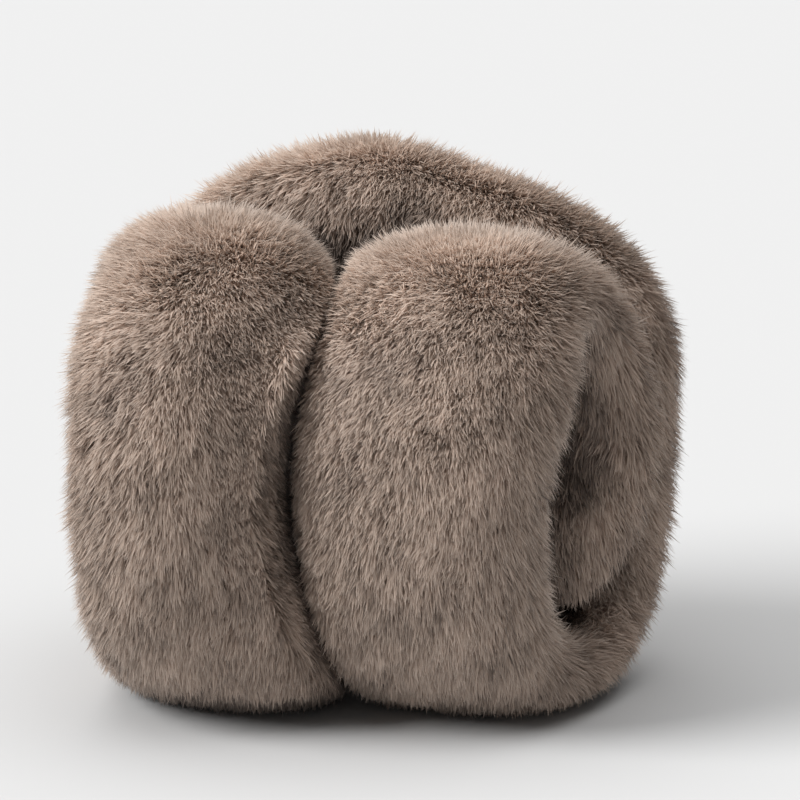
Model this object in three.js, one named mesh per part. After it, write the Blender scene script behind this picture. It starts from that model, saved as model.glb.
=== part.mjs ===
// Plush ear warmer headband, folded double and rolled up: a padded tube of long pile closed to one loop.
// Millimetres, +Z up. The rolled bundle stands on z = 0 and its front faces -Y.
// From the nape the loop runs down both back legs, forward under the bundle, up the front, over the top
// and down inside the roll, where the brow band closes it. Each solid is the outer form of the pile.
import * as THREE from 'three';

// --- driving dimensions ---
const loopLength = 640; // once round the headband, along the middle of the tube
const seamGap = 1; // clearance in each cross seam, along the loop
const creaseGap = 0.5; // clearance between the two halves where they press together
const ringSides = 24; // facets round the tube
const ringPitch = 4; // distance between rings along the loop
const pileColour = 0x8a776b;
const pileRoughness = 0.95;

// One half of the loop, from the nape to the brow, drawn at a scale of its own that loopLength brings to
// millimetres at the end. Every row is one section of the tube: its centre, its width across the band, its
// thickness and how square its outline is. tilt turns the section about the Y axis, from edge-on at the
// nape (-90) to flat in the roll (0) to edge-on at the brow (90). face is the way its outer side looks,
// about the X axis, from straight back (0) over the underside (90) to the front (180).
const halfLoop = [
  { at: 'nape side', x: 17, y: 36, z: 106.5, wide: 40.5, thick: 30, square: 2.2, tilt: -80, face: 0 },
  { at: 'shoulder', x: 35, y: 37, z: 98, wide: 45, thick: 29, square: 2.2, tilt: -50, face: 0 },
  { at: 'back top', x: 45, y: 38, z: 82, wide: 53, thick: 28, square: 2.3, tilt: -20, face: 0 },
  { at: 'back', x: 41.5, y: 38, z: 59, wide: 59, thick: 27, square: 2.4, tilt: 0, face: 5 },
  { at: 'back foot', x: 40, y: 34.5, z: 35, wide: 62, thick: 26, square: 2.4, tilt: 0, face: 20 },
  { at: 'heel', x: 39, y: 21, z: 14.8, wide: 60, thick: 23, square: 2.5, tilt: 0, face: 60 },
  { at: 'underside', x: 37, y: -1, z: 9.8, wide: 59, thick: 21.5, square: 2.6, tilt: 0, face: 90 },
  { at: 'toe', x: 34, y: -18, z: 16, wide: 58, thick: 27, square: 2.5, tilt: 0, face: 120 },
  { at: 'front foot', x: 31.5, y: -31, z: 33, wide: 62, thick: 34, square: 2.3, tilt: 0, face: 155 },
  { at: 'front', x: 31, y: -35, z: 60, wide: 64, thick: 37, square: 2.2, tilt: 0, face: 180 },
  { at: 'front top', x: 34, y: -30.5, z: 84.5, wide: 67, thick: 37, square: 2.2, tilt: 0, face: 205 },
  { at: 'brim', x: 36, y: -22, z: 99.3, wide: 61, thick: 33, square: 2, tilt: 0, face: 240 },
  { at: 'crest', x: 39, y: -6.5, z: 102.8, wide: 58, thick: 31.5, square: 2.1, tilt: 0, face: 285 },
  { at: 'roll-in', x: 43, y: 7, z: 91.5, wide: 56, thick: 28, square: 2.1, tilt: 0, face: 335 },
  { at: 'tongue', x: 48, y: 11.5, z: 73, wide: 54, thick: 22, square: 2.1, tilt: 0, face: 360 },
  { at: 'tongue foot', x: 49, y: 10, z: 54, wide: 51, thick: 22, square: 2.1, tilt: 20, face: 360 },
  { at: 'brow corner', x: 42, y: 3.5, z: 41.5, wide: 45, thick: 25, square: 2.2, tilt: 50, face: 360 },
  { at: 'brow side', x: 22, y: 2.5, z: 41.5, wide: 34, thick: 24, square: 2.2, tilt: 78, face: 360 },
];
const napeMiddle = { x: 0, y: 35.5, z: 110.4, wide: 42, thick: 30, square: 2.2, tilt: -90, face: 0 };
const browMiddle = { x: 2, y: 2, z: 42.5, wide: 34, thick: 25, square: 2.2, tilt: 90, face: 360 };

// The two rolls are not alike. Each one widens and thickens its front by factors, nests its front into the
// crease, fills the crease above and below the middle, leans its top over the crease, raises its shoulder of
// the nape arch, deepens its roll forward from the back leg by a factor, and splays its back leg outward by
// a share of the depth.
const rightRoll = {
  side: 1, widen: 1, thicken: 1, nest: 0, fillTop: 14, fillFoot: 18, lean: 0, raise: -2, deepen: 1, splay: 0.05,
};
const leftRoll = {
  side: -1, widen: 0.86, thicken: 1.16, nest: 3, fillTop: 16, fillFoot: 28, lean: 9, raise: 3.5, deepen: 1.2,
  splay: -0.02,
};
const creaseSlant = 0.04; // how far the plane between the rolls drifts right for each millimetre back
const creaseBow = 14; // how far it drifts right towards the bottom of the front
const creaseTopLimit = 8; // the most that it drifts right towards the top of the front
const fallBack = 8; // how far the left roll's front falls back towards the crease
const middleZ = 60;
const frontY = -34;
const backLegY = 38;

const frontShare = (y) => THREE.MathUtils.clamp((backLegY - y) / (backLegY - frontY), 0, 1);
const heightShare = (z) => Math.abs((z - middleZ) / middleZ) ** 1.3;

const rollRows = ({
  side, widen, thicken, nest, fillTop, fillFoot, lean, raise, deepen, splay,
}) => halfLoop.map((row) => {
  const front = frontShare(row.y);
  const widened = THREE.MathUtils.lerp(1, widen, front);
  const filled = (row.z > middleZ ? fillTop : fillFoot) * front * heightShare(row.z);
  const leant = row.z > middleZ ? lean * front * heightShare(row.z) : 0;
  const raised = row.z > middleZ ? raise * (1 - front) * heightShare(row.z) : 0;
  const outward = row.x * widened - nest * front - filled / 2 - leant + splay * (row.y - frontY);
  return {
    ...row,
    x: side * outward,
    y: backLegY + (row.y - backLegY) * deepen,
    z: row.z + raised,
    wide: row.wide * widened + filled,
    thick: row.thick * THREE.MathUtils.lerp(1, thicken, front),
    tilt: side > 0 ? row.tilt : 180 - row.tilt,
  };
});
const rows = [napeMiddle, ...rollRows(rightRoll), browMiddle, ...rollRows(leftRoll).reverse()];

// --- the tube's centre line and its section at any place along the loop ---
const closedCurve = (vectorOf) => new THREE.CatmullRomCurve3(rows.map(vectorOf), true, 'catmullrom', 0.5);
const centreLine = closedCurve((row) => new THREE.Vector3(row.x, row.y, row.z));
const sectionSizes = closedCurve((row) => new THREE.Vector3(row.wide / 2, row.thick / 2, row.square));
const widthWays = closedCurve(({ tilt }) => {
  const angle = THREE.MathUtils.degToRad(tilt);
  return new THREE.Vector3(-Math.cos(angle), 0, Math.sin(angle));
});
const outerWays = closedCurve(({ face }) => {
  const angle = THREE.MathUtils.degToRad(face);
  return new THREE.Vector3(0, Math.cos(angle), -Math.sin(angle));
});

const toSize = loopLength / centreLine.getLength();

// Places along the loop are counted in rows from the nape middle.
const share = (place) => (((place / rows.length) % 1) + 1) % 1;
const placeOf = (name) => 1 + halfLoop.findIndex((row) => row.at === name);

// One ring of the tube.
function ringAt(place) {
  const centre = centreLine.getPoint(share(place));
  const size = sectionSizes.getPoint(share(place));
  const across = widthWays.getPoint(share(place)).normalize();
  const outward = outerWays.getPoint(share(place));
  outward.addScaledVector(across, -outward.dot(across)).normalize();
  return Array.from({ length: ringSides }, (_, i) => {
    const angle = (2 * Math.PI * i) / ringSides;
    const [c, s] = [Math.cos(angle), Math.sin(angle)];
    const a = size.x * Math.sign(c) * Math.abs(c) ** (2 / size.z);
    const b = size.y * Math.sign(s) * Math.abs(s) ** (2 / size.z);
    return centre.clone().addScaledVector(across, a).addScaledVector(outward, b);
  });
}

// --- solids ---
function lengthBetween(from, to) {
  const steps = 200;
  const places = Array.from({ length: steps + 1 }, (_, i) => from + ((to - from) * i) / steps);
  const points = places.map((place) => centreLine.getPoint(share(place)));
  return points.slice(1).reduce((sum, point, i) => sum + point.distanceTo(points[i]), 0);
}

// A stretch of the tube with flat ends, its points moved where press() flattens it.
function stretch(from, to, press) {
  const length = lengthBetween(from, to);
  const trim = ((to - from) * seamGap) / 2 / (length * toSize);
  const [first, last] = [from + trim, to - trim];
  const count = Math.round((length * toSize) / ringPitch);
  const rings = Array.from({ length: count + 1 }, (_, i) => ringAt(first + ((last - first) * i) / count));
  const points = rings.flat();
  const indices = [];
  for (let ring = 0; ring < count; ring += 1) {
    for (let side = 0; side < ringSides; side += 1) {
      const a = ring * ringSides + side;
      const b = ring * ringSides + ((side + 1) % ringSides);
      indices.push(a, b, b + ringSides, a, b + ringSides, a + ringSides);
    }
  }
  for (const [base, place, opens] of [[0, first, true], [count * ringSides, last, false]]) {
    const middle = points.length;
    points.push(centreLine.getPoint(share(place)));
    for (let side = 0; side < ringSides; side += 1) {
      const [a, b] = [base + side, base + ((side + 1) % ringSides)];
      indices.push(...(opens ? [middle, b, a] : [middle, a, b]));
    }
  }
  const geometry = new THREE.BufferGeometry().setFromPoints(points.map(press));
  geometry.setIndex(indices);
  geometry.computeVertexNormals();
  return geometry;
}

const floorPress = (point) => point.setZ(Math.max(point.z, 0));
const creaseAt = ({ y, z }) => {
  const bow = Math.min(creaseBow * heightShare(z), z > middleZ ? creaseTopLimit : creaseBow);
  return creaseSlant * (y - frontY) + bow * frontShare(y);
};
const { smoothstep } = THREE.MathUtils;
const fallAway = (point) => {
  if (point.x > creaseAt(point)) return point;
  const inner = smoothstep(point.x, -24, 2);
  const fore = smoothstep(-point.y, 15, 50);
  const raised = smoothstep(point.z, 5, 40);
  return point.setY(point.y + fallBack * inner * fore * raised);
};
const browPress = (point) => floorPress(fallAway(point));
const sidePress = (side) => (point) => {
  if (side < 0) fallAway(point);
  const crease = creaseAt(point);
  const clear = creaseGap / 2 / toSize;
  if (side * (point.x - crease) < clear) point.setX(crease + side * clear);
  return floorPress(point);
};

function pileMesh(name, geometry) {
  const material = new THREE.MeshStandardMaterial({
    color: pileColour, roughness: pileRoughness, metalness: 0,
  });
  const mesh = new THREE.Mesh(geometry.scale(toSize, toSize, toSize), material);
  mesh.name = name;
  return mesh;
}

// The cross seams lie at the same rows of both rolls.
const napeSeam = placeOf('back top') + 0.3;
const browSeam = placeOf('crest') - 0.3;
const wayRound = rows.length;

const headband = new THREE.Group();
headband.add(
  pileMesh('nape_band', stretch(-napeSeam, napeSeam, floorPress)),
  pileMesh('right_ear_panel', stretch(napeSeam, browSeam, sidePress(1))),
  pileMesh('brow_band', stretch(browSeam, wayRound - browSeam, browPress)),
  pileMesh('left_ear_panel', stretch(wayRound - browSeam, wayRound - napeSeam, sidePress(-1))),
);

// The origin is the middle of the bundle's box, on the surface that it stands on.
const middle = new THREE.Box3().setFromObject(headband).getCenter(new THREE.Vector3());
headband.children.forEach((mesh) => mesh.geometry.translate(-middle.x, -middle.y, 0));

export default headband;
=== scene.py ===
# Plush ear warmer headband, folded double and rolled up.
# The frame's four solids are joined to one endless padded skin, which is set in from their outer form by
# the depth of the pile. The pile grows out of the skin in tufts as far as that outer form, and its longest
# hairs reach a little past it.
import math

import bmesh
import bpy
import numpy as np
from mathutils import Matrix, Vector
from mathutils.bvhtree import BVHTree


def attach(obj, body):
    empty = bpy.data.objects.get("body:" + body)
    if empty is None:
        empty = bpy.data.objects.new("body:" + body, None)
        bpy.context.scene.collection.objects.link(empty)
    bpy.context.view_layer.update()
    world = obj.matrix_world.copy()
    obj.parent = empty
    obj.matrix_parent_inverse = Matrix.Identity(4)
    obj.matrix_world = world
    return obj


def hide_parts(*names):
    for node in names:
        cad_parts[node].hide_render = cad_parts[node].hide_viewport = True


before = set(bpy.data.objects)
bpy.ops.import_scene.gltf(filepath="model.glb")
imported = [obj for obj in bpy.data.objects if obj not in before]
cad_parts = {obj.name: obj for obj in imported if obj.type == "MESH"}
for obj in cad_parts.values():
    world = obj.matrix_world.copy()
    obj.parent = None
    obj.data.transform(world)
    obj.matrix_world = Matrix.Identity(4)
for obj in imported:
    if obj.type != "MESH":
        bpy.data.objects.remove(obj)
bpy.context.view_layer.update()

MM = 0.001
scene = bpy.context.scene
rng = np.random.default_rng(20)
BANDS = ("nape_band", "right_ear_panel", "brow_band", "left_ear_panel")

# --- the padded skin, in metres ---
PILE_DEPTH = 2.3 * MM       # from the skin out to the pile's outer form, where the pile stands free
PRESSED_DEPTH = 0.1 * MM    # the same where two turns of the band press together
PRESSED_ROOM = 1.5 * MM     # the gap in front of the skin at which it counts as pressed
FREE_ROOM = 8.5 * MM        # the gap from which on it stands free
PRESSED_SHARE = 0.12        # the open share of the directions at which the skin counts as pressed
FREE_SHARE = 0.42           # the open share from which on it stands free
FILLING_PRESSURE = 4        # in the cloth's own measure
SWELL_STEPS = 20            # how long the filling presses
SWELL_LIMIT = 0.8 * MM      # the most that the filling may push the skin out
SWELL_ROOM = 0.6            # the share of that limit by which the skin starts out deeper
WELD = 0.02 * MM            # corners nearer than this are one
CAP_EDGES = 20              # this many edges and more meet only in the middle of a band's end cap

# --- what a place on the band can see ---
SIGHT_LINES = 40            # directions to look in, spread over the whole ball
SIGHT_SLANT = 0.25          # the least cosine between a direction looked in and the way out of the skin
SIGHT_LIFT = 1.5 * MM       # how far off the skin the look round starts
SIGHT_END = 200 * MM        # how far the look round goes
FLOOR_SIGHT = 12 * MM       # the floor shuts a place in when it is met within this way
AHEAD_LIFT = 0.2 * MM       # how far off the skin the look ahead starts
AHEAD_END = 100 * MM        # how far the look ahead goes

# --- the pile, in metres ---
ROOT_SINK = 0.5 * MM        # how deep a root sits in the skin
FLOOR_CLEAR = 0.15 * MM     # how far the tips stay above the floor
STRAY = (-0.11 * MM, 0.88 * MM)  # the least and the most by which a free tuft reaches past the outer form
HELD_BACK = 0.3 * MM        # how far short of the outer form a tuft stops where another turn is in its way
TURN_ROOM = 6 * MM          # another turn is in a tuft's way when it is less than this past its reach
TURN_LIFT = 0.3 * MM        # how far off the skin the look for another turn starts
FORM_END = 30 * MM          # how far a tuft looks for the outer form
REACHES = (2 * MM, 2.2 * PILE_DEPTH)  # the shortest and the longest reach of a tuft
DROOP = 1.15                # how far the pile leans down the skin, as a share of how far it stands out
DROOP_SLOPE = 0.35          # the droop dies away where the sine of the skin's slope is less than this
FRONT_END = 6 * MM          # the Y at which the front pile of a roll ends and its back pile begins
SHUT_IN_GROWTH = 0.30       # how densely the pile grows where it is shut in, against 1.30 where it is open
OPEN_GROWTH = 1.6           # how fast it grows denser as the skin opens
TOP_GROWTH = 0.7            # the share that is added to it where the skin faces up

# Each tuft holds two kinds of hair: a few long guard hairs over more, shorter underfur.
# per_tuft: how many; spread: radius of the roots; gather: how far the tips draw together; short and long:
# shares of the way to the outer form; wide: width of a hair; bow: how far it bows outward; stray: how far
# it wanders from its tuft's lay where the skin is upright; tone: its shade.
GUARD_HAIR = dict(per_tuft=3, spread=0.55 * MM, gather=(-0.2, 0.4), short=0.76, long=1.20,
                  wide=0.26 * MM, bow=0.35 * MM, stray=0.14, tone=0.03)
UNDERFUR = dict(per_tuft=4, spread=0.65 * MM, gather=(-0.3, 0.2), short=0.55, long=0.95,
                wide=0.42 * MM, bow=0, stray=0.20, tone=-0.01)
TUFT_LENGTHS = (0.94, 1.05)  # tufts differ in length between these shares
HAIR_WIDTHS = (0.7, 1.3)    # and hairs of one kind in width,
HAIR_BOWS = (0.4, 1.4)      # and in bow
HAIR_ROLL = 0.6             # how far a hair's flat side may turn out of the skin, as a share
TOP_STRAY = 0.7             # the share of stray that is added where the skin faces up
BOW_HEIGHT = 0.6            # where along a hair it bows most
BOW_WANDER = 0.3            # how far the way that hairs bow differs between them
SOFTNESS = 0.88             # how far the hairs share the shading of the skin under them, from 0 to 1
SHADING_WANDER = 0.08       # how far the shading differs between hairs

# The lay and the shade of the pile wander over the band. strength: how far; width: of one swirl or lock;
# stretch: shares of the three directions, and the locks are longer in a direction that has less than 1.
LAY_SWAYS = (
    dict(strength=0.11, seed=11, width=22 * MM, stretch=(1, 1, 1)),
    dict(strength=0.09, seed=12, width=7 * MM, stretch=(1, 1, 1)),
    dict(strength=0.10, seed=13, width=4 * MM, stretch=(1, 1, 0.5)),
)
TONE_SWAYS = (
    dict(strength=0.06, seed=31, width=16 * MM, stretch=(1, 1, 1)),
    dict(strength=0.045, seed=32, width=4 * MM, stretch=(1, 1, 0.5)),
)
WAVES = 5                   # waves that make up one sway
WAVES_A_WIDTH = (0.6, 1.5)  # how many times each of them rises and falls in one width

# Shades run from 0, dark, to 1, pale.
MEAN_TONE = 0.48
TUFT_TONE = 0.05            # how far tufts differ in shade
HAIR_TONE = 0.11            # how far the hairs of a tuft differ in shade
TOP_EVENNESS = 0.06         # how much less they differ where the skin faces up
PAINTED_TOP_LIGHT = 0.10             # painted light: how much paler the pile's colour is where the skin faces up
UNDERSIDE_PAINTED_SHADE = -0.5            # painted shade: the most of that, with its sign turned, by which an underside's colour is darker
SHUT_IN = 0.78              # a place open to less than this share of the directions gets painted shade, a darker pile colour
PAINTED_SHADE_CURVE = 1.2           # how late the painted shade deepens as a place closes
MAP_SIDE = 0.01             # half the width of a hair on the colour map, so that no face is flat there
MAP_ENDS = (0.1, 0.9)       # underfur takes its colour between these heights of a hair

# Each stretch of pile: its tufts, and how much painted shade darkens its colour where it is shut in. The
# outer faces of the rolls show most and carry most.
PILES = {
    "right_front_pile": dict(tufts=19400, painted_shade=0.35),
    "left_front_pile": dict(tufts=19400, painted_shade=1.3),
    "right_back_pile": dict(tufts=12900, painted_shade=1.5),
    "left_back_pile": dict(tufts=12300, painted_shade=1.3),
    "nape_pile": dict(tufts=17000, painted_shade=1.5),
    "brow_pile": dict(tufts=14000, painted_shade=1.9),
}


# --- meshes ---
def mesh_object(name, mesh):
    made = bpy.data.objects.new(name, mesh)
    scene.collection.objects.link(made)
    return made


def bake_modifiers(item):
    """Turns the item's modifiers into the shape of its mesh."""
    ready = item.evaluated_get(bpy.context.evaluated_depsgraph_get())
    baked = bpy.data.meshes.new_from_object(ready)
    item.modifiers.clear()
    item.data = baked


def mesh_tree(mesh):
    points = [vert.co for vert in mesh.vertices]
    return BVHTree.FromPolygons(points, [face.vertices for face in mesh.polygons])


def unit(vectors):
    return vectors / np.maximum(np.linalg.norm(vectors, axis=1, keepdims=True), 1e-12)


def share_between(values, least, most):
    """How far each value is on its way from the least to the most, from 0 to 1."""
    return np.clip((values - least) / (most - least), 0, 1)


def facing_up(ways):
    """How far each way points up, from 0 where it is level or points down to 1."""
    return np.clip(ways[:, 2], 0, 1)


# --- the padded skin ---
def open_rims(bm):
    """The loops of open edges, each as a list of edges."""
    left = dict.fromkeys(edge for edge in bm.edges if edge.is_boundary)
    rims = []
    while left:
        rim, front = [], [left.popitem()[0]]
        while front:
            edge = front.pop()
            rim.append(edge)
            for vert in edge.verts:
                for near in vert.link_edges:
                    if near in left:
                        del left[near]
                        front.append(near)
        rims.append(rim)
    return rims


def rim_centre(rim):
    points = [vert.co for edge in rim for vert in edge.verts]
    return sum(points, Vector()) / len(points)


def joined_loop():
    """The four bands without their end caps, joined end to end into one endless tube."""
    bm = bmesh.new()
    for name in BANDS:
        bm.from_mesh(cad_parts[name].data)
    bmesh.ops.remove_doubles(bm, verts=bm.verts, dist=WELD)
    cap_middles = [vert for vert in bm.verts if len(vert.link_edges) >= CAP_EDGES]
    bmesh.ops.delete(bm, geom=cap_middles, context="VERTS")
    rims = open_rims(bm)
    while rims:
        rim = rims.pop()
        mate = min(rims, key=lambda other: (rim_centre(other) - rim_centre(rim)).length)
        rims.remove(mate)
        bmesh.ops.bridge_loops(bm, edges=rim + mate)
    bmesh.ops.recalc_face_normals(bm, faces=bm.faces)
    return bm


def ball_directions(count):
    """Directions spread evenly over a ball."""
    step = np.arange(count) + 0.5
    height = 1 - 2 * step / count
    turn = step * math.pi * (3 - math.sqrt(5))
    flat = np.sqrt(1 - height ** 2)
    return np.stack([flat * np.cos(turn), flat * np.sin(turn), height], 1)


def openness(tree, places, outward):
    """Share of the directions in front of each place that meet neither the band nor the floor."""
    rays = ball_directions(SIGHT_LINES)
    shares = np.zeros(len(places))
    for i, (place, way) in enumerate(zip(places, outward)):
        facing = rays[rays @ way > SIGHT_SLANT]
        start = Vector(place + way * SIGHT_LIFT)
        free = 0
        for ray in facing:
            meets_floor = ray[2] < 0 and start.z + ray[2] * FLOOR_SIGHT < 0
            if not meets_floor and tree.ray_cast(start, Vector(ray), SIGHT_END)[0] is None:
                free += 1
        shares[i] = free / max(len(facing), 1)
    return shares


def room_ahead(tree, places, outward):
    """How far each place can see straight out before it meets the band."""
    starts = places + outward * AHEAD_LIFT
    hits = [tree.ray_cast(Vector(start), Vector(way), AHEAD_END)[3] for start, way in zip(starts, outward)]
    return np.array([AHEAD_END if hit is None else hit for hit in hits])


def spread_out(bm, values, times):
    """Evens the values out between neighbouring points of the mesh."""
    for _ in range(times):
        near = []
        for vert in bm.verts:
            around = [values[edge.other_vert(vert).index] for edge in vert.link_edges]
            near.append(np.mean(around))
        values = (values + np.array(near)) / 2
    return values


def padded_skin(bm):
    """The fabric under the pile: the loop, drawn in by the depth of the pile and swollen by the filling."""
    for _ in range(2):
        bmesh.ops.smooth_vert(bm, verts=bm.verts, factor=0.5,
                              use_axis_x=True, use_axis_y=True, use_axis_z=True)
    bm.normal_update()
    places = np.array([vert.co for vert in bm.verts])
    outward = np.array([vert.normal for vert in bm.verts])
    tree = BVHTree.FromBMesh(bm)
    free = share_between(openness(tree, places, outward), PRESSED_SHARE, FREE_SHARE)
    free = spread_out(bm, free, times=3)
    free = np.minimum(free, share_between(room_ahead(tree, places, outward), PRESSED_ROOM, FREE_ROOM))
    free = spread_out(bm, free, times=1)
    free_depth = PILE_DEPTH + SWELL_ROOM * SWELL_LIMIT
    depth = PRESSED_DEPTH + (free_depth - PRESSED_DEPTH) * free
    for vert, place in zip(bm.verts, places - outward * depth[:, None]):
        vert.co = place
    mesh = bpy.data.meshes.new("plush_skin")
    bm.to_mesh(mesh)
    bm.free()
    skin = mesh_object("plush_skin", mesh)
    swell(skin, free)
    finer = skin.modifiers.new("finer", "SUBSURF")
    finer.levels = finer.render_levels = 1
    bake_modifiers(skin)
    skin.data.shade_smooth()
    return skin


def corner_places(mesh):
    """The mesh's points as an array of three columns."""
    points = np.empty(len(mesh.vertices) * 3, np.float32)
    mesh.vertices.foreach_get("co", points)
    return points.reshape(-1, 3)


def swell(skin, free):
    """Lets the filling press the skin out where it is free to, by no more than the limit."""
    before = corner_places(skin.data)
    cloth = skin.modifiers.new("filling", "CLOTH")
    cloth.settings.use_pressure = True
    cloth.settings.uniform_pressure_force = FILLING_PRESSURE
    cloth.settings.effector_weights.gravity = 0
    cloth.point_cache.frame_end = SWELL_STEPS
    for step in range(1, SWELL_STEPS + 1):
        scene.frame_set(step)
    bake_modifiers(skin)
    scene.frame_set(1)
    moved = corner_places(skin.data) - before
    far = np.linalg.norm(moved, axis=1, keepdims=True)
    moved *= free[:, None] * np.minimum(1, SWELL_LIMIT / np.maximum(far, 1e-9))
    skin.data.vertices.foreach_set("co", (before + moved).ravel())
    skin.data.update()


# --- where the pile grows ---
def skin_faces(mesh):
    """Corner points, corner normals and areas of the skin's triangles."""
    mesh.calc_loop_triangles()
    corners = np.empty(len(mesh.loop_triangles) * 3, np.int32)
    mesh.loop_triangles.foreach_get("vertices", corners)
    corners = corners.reshape(-1, 3)
    normals = np.empty(len(mesh.vertices) * 3, np.float32)
    mesh.vertex_normals.foreach_get("vector", normals)
    normals = normals.reshape(-1, 3)[corners]
    points = corner_places(mesh)[corners]
    crossed = np.cross(points[:, 1] - points[:, 0], points[:, 2] - points[:, 0])
    return points, normals, np.linalg.norm(crossed, axis=1) / 2


def pile_of(places):
    """The name of the stretch of pile that each place belongs to."""
    trees = {name: mesh_tree(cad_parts[name].data) for name in BANDS}
    names = []
    for place in places:
        point = Vector(place)
        band = min(BANDS, key=lambda name: trees[name].find_nearest(point)[3])
        if band == "nape_band":
            names.append("nape_pile")
        elif band == "brow_band":
            names.append("brow_pile")
        else:
            side = band.split("_")[0]
            half = "front" if place[1] < FRONT_END else "back"
            names.append(f"{side}_{half}_pile")
    return np.array(names)


def sway(points, seed, width):
    """A slow wandering of directions over the band, much the same for places well within one width."""
    wave = np.random.default_rng(seed)
    total = np.zeros_like(points)
    for _ in range(WAVES):
        ways = unit(wave.normal(size=(3, 3))) * (2 * math.pi / width) * wave.uniform(*WAVES_A_WIDTH)
        phases = wave.uniform(0, 2 * math.pi, 3)
        total += np.sin(points @ ways.T + phases)
    return total / math.sqrt(WAVES / 2)


def all_sways(points, sways):
    return sum(row["strength"] * sway(points * row["stretch"], row["seed"], row["width"]) for row in sways)


def lay_of_pile(points, outward):
    """The way each tuft points: outward, and combed down where the skin is upright."""
    down = np.array([0, 0, -1.0])
    along = down - (outward @ down)[:, None] * outward
    slope = np.linalg.norm(along, axis=1, keepdims=True)
    lay = outward + DROOP * along / np.maximum(slope, DROOP_SLOPE)
    return unit(lay + all_sways(points, LAY_SWAYS))


def reach_of(points, outward, lay, outer_tree, skin_tree):
    """How far along its lay each tuft comes to the outer form, and whether it stands free there."""
    reach, free = np.empty(len(points)), np.ones(len(points), bool)
    for i, (point, way, out) in enumerate(zip(points, lay, outward)):
        start, ray = Vector(point), Vector(way)
        hit = outer_tree.ray_cast(start, ray, FORM_END)[3]
        reach[i] = PILE_DEPTH if hit is None else hit
        seen = reach[i] + TURN_ROOM + PILE_DEPTH
        free[i] = skin_tree.ray_cast(start + Vector(out) * TURN_LIFT, ray, seen)[0] is None
    return np.clip(reach, *REACHES), free


def faces_of_tufts(faces, growth, tufts):
    """The skin face that each tuft grows on, spread evenly over the growth of the faces."""
    steps = (np.arange(tufts) + rng.uniform(0, 1, tufts)) / tufts
    return faces[np.searchsorted(np.cumsum(growth / growth.sum())[:-1], steps)]


def tone_of_tufts(points, outward, open_here, painted_shade):
    """The colour tone of each tuft: darkened by painted shade where it is shut in, and paler on top as
    painted light.
    """
    tone = MEAN_TONE + all_sways(points, TONE_SWAYS)[:, 0] + rng.normal(0, TUFT_TONE, len(points))
    # Painted shade: the pile's colour is darker where the band shuts it in, as in creases and inside the
    # roll.
    tone -= painted_shade * np.clip(1 - open_here / SHUT_IN, 0, 1) ** PAINTED_SHADE_CURVE
    # Painted light and shade: the pile's colour is paler where the skin faces up and darker on undersides.
    return tone + PAINTED_TOP_LIGHT * np.clip(outward[:, 2], UNDERSIDE_PAINTED_SHADE, 1)


# --- the pile itself ---
def grow_hairs(kind, points, outward, lay, reach, tone):
    """Hairs of one kind in every tuft.

    Gives their corners, the way each corner faces, their faces, and for each corner its place on the colour
    map, which is the hair's shade and the height along it.
    """
    tufts = len(points)
    count = tufts * kind["per_tuft"]

    def each(values):
        return np.repeat(values, kind["per_tuft"], axis=0)

    side = unit(np.cross(outward, rng.normal(size=(tufts, 3))))
    other = np.cross(outward, side)
    turn = rng.uniform(0, 2 * math.pi, (count, 1))
    off = kind["spread"] * np.sqrt(rng.uniform(0, 1, (count, 1)))
    spread = off * (each(side) * np.cos(turn) + each(other) * np.sin(turn))
    gather = each(rng.uniform(*kind["gather"], (tufts, 1)))
    length = each(reach[:, None] * rng.uniform(*TUFT_LENGTHS, (tufts, 1)))
    length = length * rng.uniform(kind["short"], kind["long"], (count, 1))
    out = each(outward)
    top = facing_up(out)
    loose = kind["stray"] * (1 + TOP_STRAY * top[:, None])
    way = unit(each(lay) + loose * rng.normal(size=(count, 3)))
    root = each(points) + spread - out * ROOT_SINK
    tip = each(points) + spread * (1 - gather) + way * length
    tip[:, 2] = np.maximum(tip[:, 2], FLOOR_CLEAR)

    across = unit(np.cross(tip - root, out))
    facing = unit(np.cross(across, tip - root))
    facing *= np.sign(np.einsum("ij,ij->i", facing, out))[:, None]
    across = unit(across + out * rng.uniform(-HAIR_ROLL, HAIR_ROLL, (count, 1)))
    across *= kind["wide"] / 2 * rng.uniform(*HAIR_WIDTHS, (count, 1))

    mottle = HAIR_TONE - TOP_EVENNESS * top
    shade = np.clip(each(tone) + kind["tone"] + mottle * rng.normal(size=count), 0.02, 0.98)
    if kind["bow"]:
        bend = unit(out + BOW_WANDER * rng.normal(size=(count, 3)))
        middle = root * (1 - BOW_HEIGHT) + tip * BOW_HEIGHT
        middle += bend * kind["bow"] * rng.uniform(*HAIR_BOWS, (count, 1))
        middle[:, 2] = np.maximum(middle[:, 2], 2 * FLOOR_CLEAR)
        corners = np.stack([root, middle + across, middle - across, tip], 1)
        faces = np.array([[0, 1, 2], [1, 3, 2]])
        tones = np.stack([shade, shade - MAP_SIDE, shade + MAP_SIDE, shade], 1)
        heights = np.tile([0, BOW_HEIGHT, BOW_HEIGHT, 1], (count, 1))
    else:
        corners = np.stack([root + across, tip, root - across], 1)
        faces = np.array([[0, 1, 2]])
        tones = np.stack([shade - MAP_SIDE, shade, shade + MAP_SIDE], 1)
        heights = np.tile([MAP_ENDS[0], MAP_ENDS[1], MAP_ENDS[0]], (count, 1))

    # Faces that look into the skin are turned over.
    first = corners[:, faces[0, 1]] - corners[:, 0]
    second = corners[:, faces[0, 2]] - corners[:, 0]
    inward = np.einsum("ij,ij->i", np.cross(first, second), out) < 0
    step = corners.shape[1] * np.arange(count)[:, None, None]
    order = np.where(inward[:, None, None], faces[:, ::-1], faces) + step
    soft = out * SOFTNESS + facing * (1 - SOFTNESS) + SHADING_WANDER * rng.normal(size=(count, 3))
    soft = np.repeat(unit(soft), corners.shape[1], axis=0)
    colour_places = np.stack([tones.ravel(), heights.ravel()], 1)
    return corners.reshape(-1, 3), soft, order.reshape(-1, 3), colour_places


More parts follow.
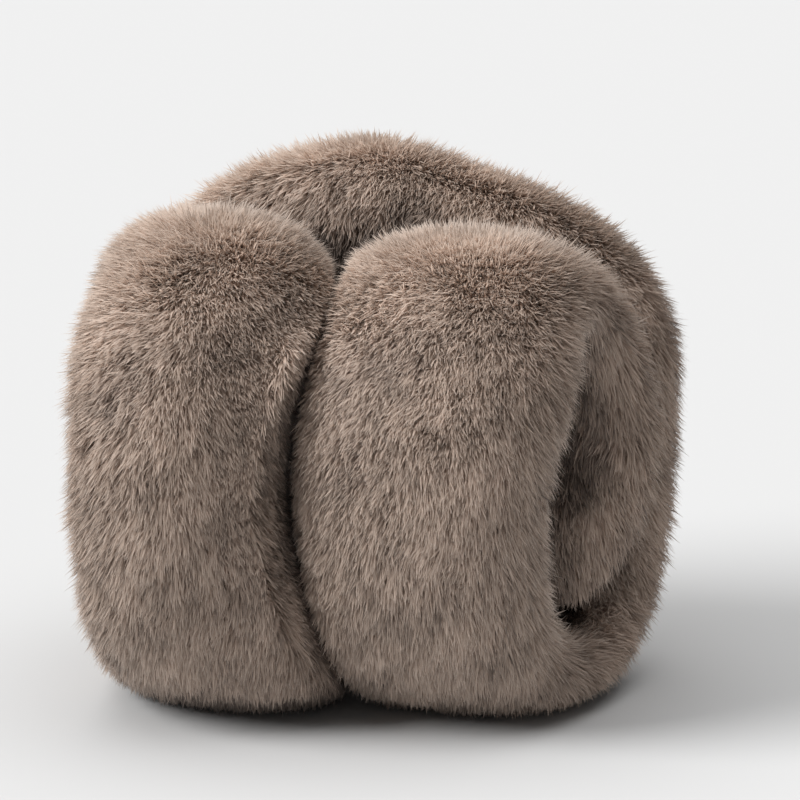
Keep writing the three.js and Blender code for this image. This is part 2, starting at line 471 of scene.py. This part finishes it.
def grow_pile(name, points, outward, lay, reach, tone):
    """One stretch of pile as one mesh."""
    guard = grow_hairs(GUARD_HAIR, points, outward, lay, reach, tone)
    under = grow_hairs(UNDERFUR, points, outward, lay, reach, tone)
    corners = np.concatenate([guard[0], under[0]])
    soft = np.concatenate([guard[1], under[1]])
    order = np.concatenate([guard[2], under[2] + len(guard[0])]).ravel()
    colour_places = np.concatenate([guard[3], under[3]])
    mesh = bpy.data.meshes.new(name)
    mesh.vertices.add(len(corners))
    mesh.vertices.foreach_set("co", corners.astype(np.float32).ravel())
    mesh.loops.add(len(order))
    mesh.loops.foreach_set("vertex_index", order.astype(np.int32))
    mesh.polygons.add(len(order) // 3)
    mesh.polygons.foreach_set("loop_start", np.arange(0, len(order), 3, dtype=np.int32))
    mesh.update(calc_edges=True)
    layout = mesh.uv_layers.new(name="OFBake")
    layout.data.foreach_set("uv", colour_places[order].astype(np.float32).ravel())
    mesh.shade_smooth()
    mesh.normals_split_custom_set_from_vertices(soft)
    return mesh_object(name, mesh)


# --- materials ---
def add_node(tree, kind, **values):
    node = tree.nodes.new(kind)
    for key, value in values.items():
        if key in node.inputs:
            node.inputs[key].default_value = value
        else:
            setattr(node, key, value)
    return node


def new_material(name):
    made = bpy.data.materials.new(name)
    made.use_nodes = True
    made.node_tree.nodes.clear()
    surface = add_node(made.node_tree, "ShaderNodeBsdfPrincipled")
    output = add_node(made.node_tree, "ShaderNodeOutputMaterial")
    made.node_tree.links.new(surface.outputs["BSDF"], output.inputs["Surface"])
    return made, surface


def set_ramp(node, stops):
    ramp = node.color_ramp
    while len(ramp.elements) < len(stops):
        ramp.elements.new(0.5)
    for element, (place, colour) in zip(ramp.elements, stops):
        element.position = place
        element.color = (*colour, 1)


def pile_material():
    """Grey-brown hair, darker at its root and paler at its tip."""
    made, surface = new_material("long pile")
    tree = made.node_tree
    layout = add_node(tree, "ShaderNodeUVMap", uv_map="OFBake")
    parts = add_node(tree, "ShaderNodeSeparateXYZ")
    along = add_node(tree, "ShaderNodeValToRGB")
    set_ramp(along, [(0.10, (0.35, 0.261, 0.211)), (0.45, (0.41, 0.311, 0.252)),
                     (0.8, (0.475, 0.375, 0.31)), (1.0, (0.58, 0.49, 0.425))])
    tone = add_node(tree, "ShaderNodeValToRGB")
    set_ramp(tone, [(0.0, (0.18, 0.17, 0.168)), (0.5, (0.85, 0.84, 0.83)), (1.0, (1.30, 1.31, 1.32))])
    both = add_node(tree, "ShaderNodeMix", data_type="RGBA", blend_type="MULTIPLY")
    both.inputs[0].default_value = 1
    # The colour sockets of this node are inputs 6 and 7 and output 2.
    tree.links.new(layout.outputs["UV"], parts.inputs[0])
    tree.links.new(parts.outputs["Y"], along.inputs["Fac"])
    tree.links.new(parts.outputs["X"], tone.inputs["Fac"])
    tree.links.new(along.outputs["Color"], both.inputs[6])
    tree.links.new(tone.outputs["Color"], both.inputs[7])
    tree.links.new(both.outputs[2], surface.inputs["Base Color"])
    # A hair seen from behind is lit through its thickness, so that both its sides look alike.
    behind = add_node(tree, "ShaderNodeBsdfTranslucent")
    tree.links.new(both.outputs[2], behind.inputs["Color"])
    side = add_node(tree, "ShaderNodeNewGeometry")
    seen = add_node(tree, "ShaderNodeMixShader")
    output = next(node for node in tree.nodes if node.type == "OUTPUT_MATERIAL")
    tree.links.new(side.outputs["Backfacing"], seen.inputs[0])
    tree.links.new(surface.outputs["BSDF"], seen.inputs[1])
    tree.links.new(behind.outputs["BSDF"], seen.inputs[2])
    tree.links.new(seen.outputs[0], output.inputs["Surface"])
    surface.inputs["Roughness"].default_value = 0.62
    surface.inputs["Specular IOR Level"].default_value = 0.25
    surface.inputs["Sheen Weight"].default_value = 0.25
    surface.inputs["Sheen Roughness"].default_value = 0.5
    surface.inputs["Sheen Tint"].default_value = (0.85, 0.78, 0.72, 1)
    return made


def skin_material():
    """The fabric under the tufts, with fine fibres that run upright."""
    made, surface = new_material("underfur on backing")
    tree = made.node_tree
    place = add_node(tree, "ShaderNodeTexCoord")
    stretch = add_node(tree, "ShaderNodeMapping")
    stretch.inputs["Scale"].default_value = (1600, 1600, 420)
    fibres = add_node(tree, "ShaderNodeTexNoise", Detail=3.0)
    fibres.inputs["Scale"].default_value = 1.0
    colour = add_node(tree, "ShaderNodeValToRGB")
    set_ramp(colour, [(0.3, (0.36, 0.27, 0.22)), (0.7, (0.48, 0.365, 0.30))])
    relief = add_node(tree, "ShaderNodeBump")
    relief.inputs["Strength"].default_value = 0.6
    relief.inputs["Distance"].default_value = 0.5 * MM
    tree.links.new(place.outputs["Object"], stretch.inputs["Vector"])
    tree.links.new(stretch.outputs["Vector"], fibres.inputs["Vector"])
    tree.links.new(fibres.outputs["Fac"], colour.inputs["Fac"])
    tree.links.new(fibres.outputs["Fac"], relief.inputs["Height"])
    tree.links.new(colour.outputs["Color"], surface.inputs["Base Color"])
    tree.links.new(relief.outputs["Normal"], surface.inputs["Normal"])
    surface.inputs["Roughness"].default_value = 0.95
    surface.inputs["Specular IOR Level"].default_value = 0.1
    return made


# --- build the headband ---
loop = joined_loop()
outer_tree = BVHTree.FromBMesh(loop)
skin = padded_skin(loop)
skin.data.materials.append(skin_material())
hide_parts(*BANDS)
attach(skin, "root")

skin_tree = mesh_tree(skin.data)
corner_points, corner_normals, areas = skin_faces(skin.data)
face_centres = corner_points.mean(axis=1)
face_ways = unit(corner_normals.mean(axis=1))
open_share = openness(skin_tree, face_centres, face_ways)
face_piles = pile_of(face_centres)
growth = areas * (SHUT_IN_GROWTH + np.clip(open_share * OPEN_GROWTH, 0, 1))
growth *= 1 + TOP_GROWTH * facing_up(face_ways)

long_pile = pile_material()
for name, stretch in PILES.items():
    tufts = stretch["tufts"]
    own_faces = np.flatnonzero(face_piles == name)
    picked = faces_of_tufts(own_faces, growth[own_faces], tufts)
    mix = rng.dirichlet((1, 1, 1), tufts)[:, :, None]
    points = (corner_points[picked] * mix).sum(axis=1)
    outward = unit((corner_normals[picked] * mix).sum(axis=1))
    lay = lay_of_pile(points, outward)
    reach, free = reach_of(points, outward, lay, outer_tree, skin_tree)
    reach += np.where(free, rng.uniform(*STRAY, tufts), -HELD_BACK)
    # Each stretch's strength of painted shade, darkening its colour where it is shut in, goes in here.
    tone = tone_of_tufts(points, outward, open_share[picked], stretch["painted_shade"])
    pile = grow_pile(name, points, outward, lay, reach, tone)
    pile.data.materials.append(long_pile)
    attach(pile, "root")


# --- floor, camera and light ---
FLOOR_HALF = 6              # metres from the middle of the floor to its edge


def pale_floor():
    bm = bmesh.new()
    bmesh.ops.create_grid(bm, x_segments=2, y_segments=2, size=FLOOR_HALF)
    mesh = bpy.data.meshes.new("floor")
    bm.to_mesh(mesh)
    bm.free()
    pale, surface = new_material("pale floor")
    surface.inputs["Base Color"].default_value = (0.58, 0.58, 0.58, 1)
    surface.inputs["Roughness"].default_value = 1
    surface.inputs["Specular IOR Level"].default_value = 0
    mesh.materials.append(pale)
    return mesh_object("floor", mesh)


def studio_air():
    """A weak even light from all sides, which the camera sees as a pale wall."""
    world = bpy.data.worlds.new("studio")
    scene.world = world
    world.use_nodes = True
    air = world.node_tree
    air.nodes.clear()
    wall = add_node(air, "ShaderNodeBackground", Color=(0.87, 0.87, 0.87, 1), Strength=1.0)
    fill = add_node(air, "ShaderNodeBackground", Color=(1, 1, 1, 1), Strength=0.20)
    path = add_node(air, "ShaderNodeLightPath")
    either = add_node(air, "ShaderNodeMixShader")
    sky = add_node(air, "ShaderNodeOutputWorld")
    air.links.new(path.outputs["Is Camera Ray"], either.inputs[0])
    air.links.new(fill.outputs[0], either.inputs[1])
    air.links.new(wall.outputs[0], either.inputs[2])
    air.links.new(either.outputs[0], sky.inputs["Surface"])


def place_camera(eye, aim):
    camera = bpy.data.objects.new("camera", bpy.data.cameras.new("camera"))
    camera.data.lens = LENS
    camera.data.sensor_width = 36
    camera.location = eye
    camera.rotation_mode = "QUATERNION"
    camera.rotation_quaternion = (aim - eye).to_track_quat("-Z", "Y")
    camera.data.clip_start, camera.data.clip_end = 0.01, 50
    scene.collection.objects.link(camera)
    scene.camera = camera


def soft_light(name, way, strength, width):
    """A far, broad light shining from the given way, as wide in the sky as the given angle in degrees."""
    light = bpy.data.objects.new(name, bpy.data.lights.new(name, "SUN"))
    light.data.energy = strength
    light.data.angle = math.radians(width)
    light.rotation_mode = "QUATERNION"
    light.rotation_quaternion = way.to_track_quat("Z", "Y")
    scene.collection.objects.link(light)


pale_floor()
studio_air()

# The camera stands in front, to the right and a little above. It aims to the right of and above the
# middle of the bundle.
CAMERA_TURN, CAMERA_RISE = math.radians(19), math.radians(14)
CAMERA_DISTANCE = 0.715
LENS = 168.75
AIM_RIGHT, AIM_UP = 10.68 * MM, 8.2 * MM
bundle_middle = Vector((-2.84 * MM, 7.55 * MM, 47.67 * MM))
overhead = Vector((0, 0, 1))
front = Vector((math.sin(CAMERA_TURN), -math.cos(CAMERA_TURN), 0))
right = Vector((math.cos(CAMERA_TURN), math.sin(CAMERA_TURN), 0))
to_camera = front * math.cos(CAMERA_RISE) + overhead * math.sin(CAMERA_RISE)
up = to_camera.cross(right)
place_camera(bundle_middle + to_camera * CAMERA_DISTANCE, bundle_middle + right * AIM_RIGHT + up * AIM_UP)

soft_light("key light", right * -0.9 + to_camera * 0.3 + overhead * 0.6, strength=3.3, width=32)
soft_light("overhead light", overhead, strength=2.2, width=75)
scene.view_settings.view_transform = "Standard"
